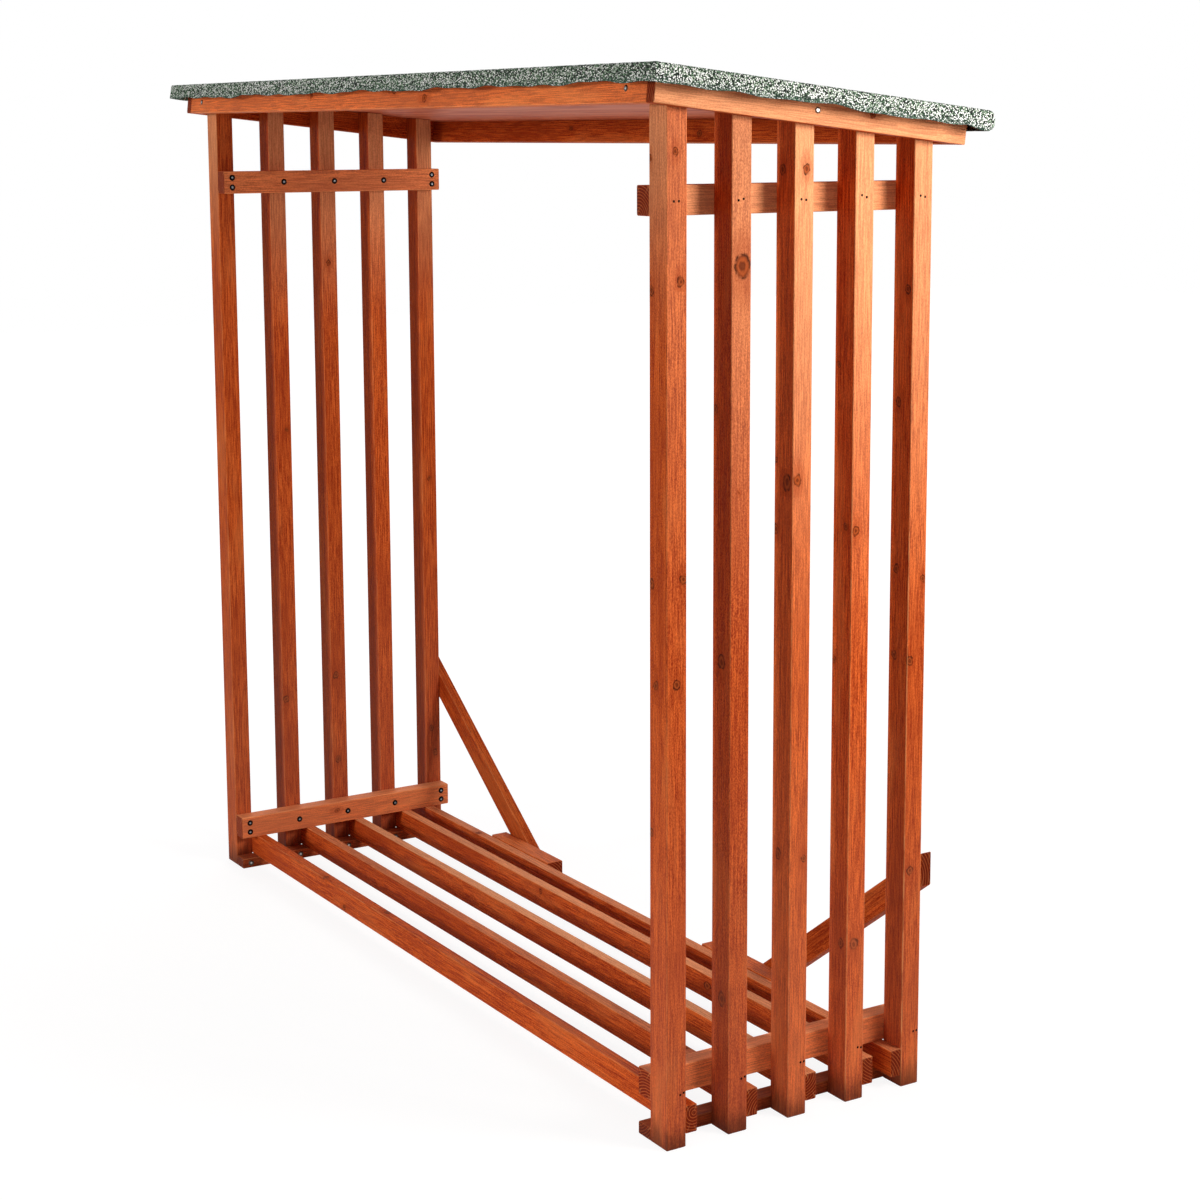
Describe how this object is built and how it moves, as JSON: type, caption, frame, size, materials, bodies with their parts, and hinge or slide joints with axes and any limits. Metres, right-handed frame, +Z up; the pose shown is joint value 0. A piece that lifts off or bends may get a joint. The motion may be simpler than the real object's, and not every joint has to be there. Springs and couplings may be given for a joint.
{
  "type": "log store",
  "caption": "Open log store of stained timber: posts at both ends, slats for a floor, corner braces at the back and a sloping roof covered in green mineral felt.",
  "frame": {"origin": "on the ground under the middle of the roof", "axes": "+X along the length to the right as seen from the open front, +Y from the front to the back, +Z up"},
  "size_m": [1.947, 0.672, 1.7552],
  "materials": {
    "stained_timber": "red-brown stain on sawn softwood, matte",
    "roof_board": "stained board, matte",
    "roofing_felt": "green mineral granules on bitumen, rough"
  },
  "bodies": {
    "root": {"left_post_1": "stained_timber", "left_post_2": "stained_timber", "left_post_3": "stained_timber", "left_post_4": "stained_timber", "left_post_5": "stained_timber", "right_post_1": "stained_timber", "right_post_2": "stained_timber", "right_post_3": "stained_timber", "right_post_4": "stained_timber", "right_post_5": "stained_timber", "left_upper_batten": "stained_timber", "left_lower_batten": "stained_timber", "left_foot_rail": "stained_timber", "left_brace": "stained_timber", "left_brace_block": "stained_timber", "left_roof_rail": "stained_timber", "right_upper_batten": "stained_timber", "right_lower_batten": "stained_timber", "right_foot_rail": "stained_timber", "right_brace": "stained_timber", "right_brace_block": "stained_timber", "right_roof_rail": "stained_timber", "floor_slat_1": "stained_timber", "floor_slat_2": "stained_timber", "floor_slat_3": "stained_timber", "floor_slat_4": "stained_timber", "floor_slat_5": "stained_timber", "front_roof_rail": "stained_timber", "back_roof_rail": "stained_timber", "roof_board": "roof_board", "roof_felt": "roofing_felt"}
  },
  "joints": []
}
